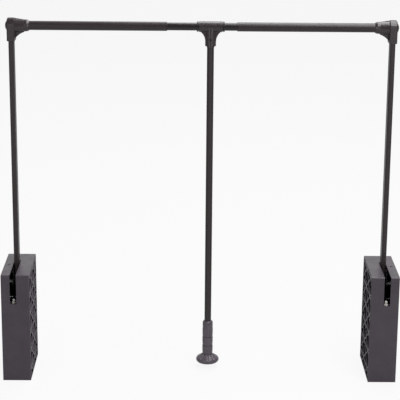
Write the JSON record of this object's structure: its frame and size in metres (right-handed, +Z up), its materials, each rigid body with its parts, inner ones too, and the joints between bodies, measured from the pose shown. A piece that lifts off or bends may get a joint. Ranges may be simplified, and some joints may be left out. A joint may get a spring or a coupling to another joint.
{
  "type": "retractable wardrobe rail",
  "caption": "Pull-down wardrobe rail: spring gearboxes, swinging arms, a telescopic hanging rail and a hanging pull rod with a bell-footed grip.",
  "frame": {"origin": "middle of the base plane, halfway between the two gearboxes", "axes": "+Z up, -Y towards the user, +X to the right along the hanging rail"},
  "size_m": [0.93, 0.17, 0.8495],
  "materials": {
    "moulded_housing": "satin moulded ABS, dark grey-brown",
    "moulded_black": "semi-gloss moulded nylon, near black",
    "coated_tube": "fine satin powder coat, dark brown-black",
    "zinc_steel": "zinc plated",
    "spring_steel": "drawn spring wire",
    "blackened_steel": "blackened steel, satin",
    "acetal": "natural white, waxy",
    "pale_rubber": "pale, matt"
  },
  "bodies": {
    "left_gearbox": {"left_housing": "moulded_housing", "left_wall_plate": "zinc_steel", "left_axle": "zinc_steel", "left_anchor_pin": "zinc_steel", "left_spring_outer": "spring_steel", "left_spring_inner": "spring_steel", "left_damper": "moulded_black", "left_buffer": "pale_rubber", "left_case_screws": "blackened_steel"},
    "left_damper_rod": {"left_plunger": "acetal"},
    "left_frame": {"left_crank": "blackened_steel", "left_bushes": "acetal", "left_crank_pin": "zinc_steel", "left_crank_rivets": "zinc_steel", "left_arm": "coated_tube", "left_elbow": "moulded_black", "left_elbow_cap": "moulded_black", "left_elbow_screw": "zinc_steel", "left_rail_plug": "zinc_steel", "left_rail_tube": "coated_tube"},
    "right_gearbox": {"right_housing": "moulded_housing", "right_wall_plate": "zinc_steel", "right_axle": "zinc_steel", "right_anchor_pin": "zinc_steel", "right_spring_outer": "spring_steel", "right_spring_inner": "spring_steel", "right_damper": "moulded_black", "right_buffer": "pale_rubber", "right_case_screws": "blackened_steel"},
    "right_damper_rod": {"right_plunger": "acetal"},
    "right_frame": {"right_crank": "blackened_steel", "right_bushes": "acetal", "right_crank_pin": "zinc_steel", "right_crank_rivets": "zinc_steel", "right_arm": "coated_tube", "right_elbow": "moulded_black", "right_elbow_cap": "moulded_black", "right_elbow_screw": "zinc_steel", "right_rail_plug": "zinc_steel", "right_rail_tube": "coated_tube"},
    "rail_core": {"inner_tube": "coated_tube", "inner_tube_glides": "acetal", "retaining_rings": "moulded_black"},
    "pull_handle": {"rod_tee": "moulded_black", "tee_screw": "blackened_steel", "pull_rod": "coated_tube", "rod_plug": "zinc_steel", "grip_sleeve": "moulded_black", "grip_bell": "moulded_black", "grip_screw": "zinc_steel"}
  },
  "joints": [
    {"name": "arm_swing", "type": "hinge", "parent": "left_gearbox", "child": "left_frame", "pos_m": [-0.437, 0.015, 0.215], "axis": [1, 0, 0], "range_deg": [0, 90], "stiffness_Nm_per_rad": 6, "springref_deg": -68.75, "deforming": ["left_spring_outer", "left_spring_inner", "right_spring_outer", "right_spring_inner"]},
    {"name": "left_telescope", "type": "slide", "parent": "left_frame", "child": "rail_core", "axis": [1, 0, 0], "range_m": [-0.068, 0.11]},
    {"name": "right_telescope", "type": "slide", "parent": "rail_core", "child": "right_frame", "axis": [1, 0, 0], "range_m": [-0.028, 0.11]},
    {"name": "right_arm_swing", "type": "hinge", "parent": "right_frame", "child": "right_gearbox", "pos_m": [0.437, 0.015, 0.215], "axis": [1, 0, 0], "range_deg": [-90, 0]},
    {"name": "handle_swivel", "type": "hinge", "parent": "rail_core", "child": "pull_handle", "pos_m": [0.0195, 0.015, 0.8315], "axis": [1, 0, 0], "continuous": true},
    {"name": "left_damper_slide", "type": "slide", "parent": "left_gearbox", "child": "left_damper_rod", "axis": [0, 1, 0], "range_m": [0, 0.008]},
    {"name": "right_damper_slide", "type": "slide", "parent": "right_gearbox", "child": "right_damper_rod", "axis": [0, 1, 0], "range_m": [0, 0.008]}
  ],
  "couplings": [
    {"joint": "right_arm_swing", "follows": "arm_swing", "ratio": -1},
    {"joint": "left_damper_slide", "follows": "arm_swing", "m_per_rad": 0.005},
    {"joint": "right_damper_slide", "follows": "arm_swing", "m_per_rad": 0.005}
  ]
}
